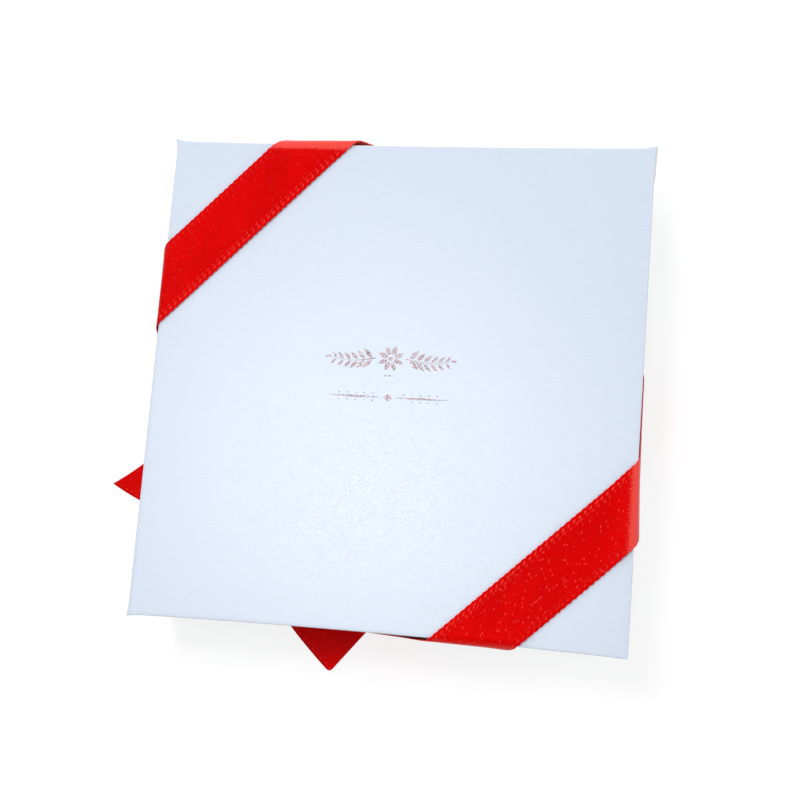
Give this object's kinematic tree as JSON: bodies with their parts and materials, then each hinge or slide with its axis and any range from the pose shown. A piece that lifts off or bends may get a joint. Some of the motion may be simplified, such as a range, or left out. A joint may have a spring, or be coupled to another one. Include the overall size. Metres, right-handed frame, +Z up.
{
  "type": "chocolate box",
  "caption": "Square board gift box, lid over tray, tied corner to corner with a satin ribbon, with dividers, pleated cups, chocolates and a cushion pad inside.",
  "frame": {"origin": "centre of the tray's underside", "axes": "+X right and +Y back as seen over the closed lid, with the ribbon over the back left and front right corners; +Z up"},
  "size_m": [0.1552, 0.146, 0.032],
  "materials": {
    "lid_board": "satin",
    "tray_board": "satin",
    "liner_paper": "matte",
    "divider_board": "matte",
    "cup_paper": "matte",
    "pad_paper": "matte",
    "dark_chocolate": "satin",
    "milk_chocolate": "satin",
    "white_chocolate": "satin",
    "cocoa_chocolate": "matte",
    "ribbon_satin": "satin"
  },
  "bodies": {
    "base": {"base_liner": "liner_paper", "base_tray": "tray_board", "divider_cross_1": "divider_board", "divider_cross_2": "divider_board", "divider_cross_3": "divider_board", "divider_long_1": "divider_board", "divider_long_2": "divider_board", "divider_long_3": "divider_board", "paper_cup_row1_1": "cup_paper", "paper_cup_row1_2": "cup_paper", "paper_cup_row1_3": "cup_paper", "paper_cup_row1_4": "cup_paper", "paper_cup_row2_1": "cup_paper", "paper_cup_row2_2": "cup_paper", "paper_cup_row2_3": "cup_paper", "paper_cup_row2_4": "cup_paper", "paper_cup_row3_1": "cup_paper", "paper_cup_row3_2": "cup_paper", "paper_cup_row3_3": "cup_paper", "paper_cup_row3_4": "cup_paper", "paper_cup_row4_1": "cup_paper", "paper_cup_row4_2": "cup_paper", "paper_cup_row4_3": "cup_paper", "paper_cup_row4_4": "cup_paper"},
    "lid": {"lid": "lid_board"},
    "pad": {"cushion_pad": "pad_paper"},
    "chocolates": {"chocolate_dome_1": "dark_chocolate", "chocolate_dome_2": "dark_chocolate", "chocolate_fluted_1": "dark_chocolate", "chocolate_fluted_2": "dark_chocolate", "chocolate_heart_1": "milk_chocolate", "chocolate_heart_2": "milk_chocolate", "chocolate_hexagon_1": "milk_chocolate", "chocolate_hexagon_2": "milk_chocolate", "chocolate_log_1": "milk_chocolate", "chocolate_log_2": "milk_chocolate", "chocolate_square_1": "dark_chocolate", "chocolate_square_2": "dark_chocolate", "chocolate_swirl_1": "white_chocolate", "chocolate_swirl_2": "white_chocolate", "chocolate_truffle_1": "cocoa_chocolate", "chocolate_truffle_2": "cocoa_chocolate"},
    "ribbon": {"bow_knot": "ribbon_satin", "bow_loop_front": "ribbon_satin", "bow_loop_left": "ribbon_satin", "bow_tail_front": "ribbon_satin", "bow_tail_left": "ribbon_satin", "ribbon_over_back_left": "ribbon_satin", "ribbon_over_front_right": "ribbon_satin", "ribbon_under_back_right": "ribbon_satin", "ribbon_under_front_left": "ribbon_satin", "ribbon_wall_back": "ribbon_satin", "ribbon_wall_front": "ribbon_satin", "ribbon_wall_left": "ribbon_satin", "ribbon_wall_right": "ribbon_satin"}
  },
  "joints": [
    {"name": "lid_lift", "type": "slide", "parent": "base", "child": "lid", "axis": [0, 0, 1], "range_m": [0, 0.12]},
    {"name": "ribbon_slip_off", "type": "slide", "parent": "base", "child": "ribbon", "axis": [0, 0, 1], "range_m": [0, 0.18], "deforming": ["bow_knot", "bow_loop_front", "bow_loop_left", "bow_tail_front", "bow_tail_left", "ribbon_over_back_left", "ribbon_over_front_right", "ribbon_under_back_right", "ribbon_under_front_left", "ribbon_wall_back", "ribbon_wall_front", "ribbon_wall_left", "ribbon_wall_right"]},
    {"name": "pad_lift", "type": "slide", "parent": "base", "child": "pad", "axis": [0, 0, 1], "range_m": [0, 0.078]},
    {"name": "chocolates_lift", "type": "slide", "parent": "base", "child": "chocolates", "axis": [0, 0, 1], "range_m": [0, 0.036]}
  ],
  "couplings": [
    {"joint": "ribbon_slip_off", "follows": "lid_lift", "ratio": 1.5},
    {"joint": "pad_lift", "follows": "lid_lift", "ratio": 0.65},
    {"joint": "chocolates_lift", "follows": "lid_lift", "ratio": 0.3}
  ]
}
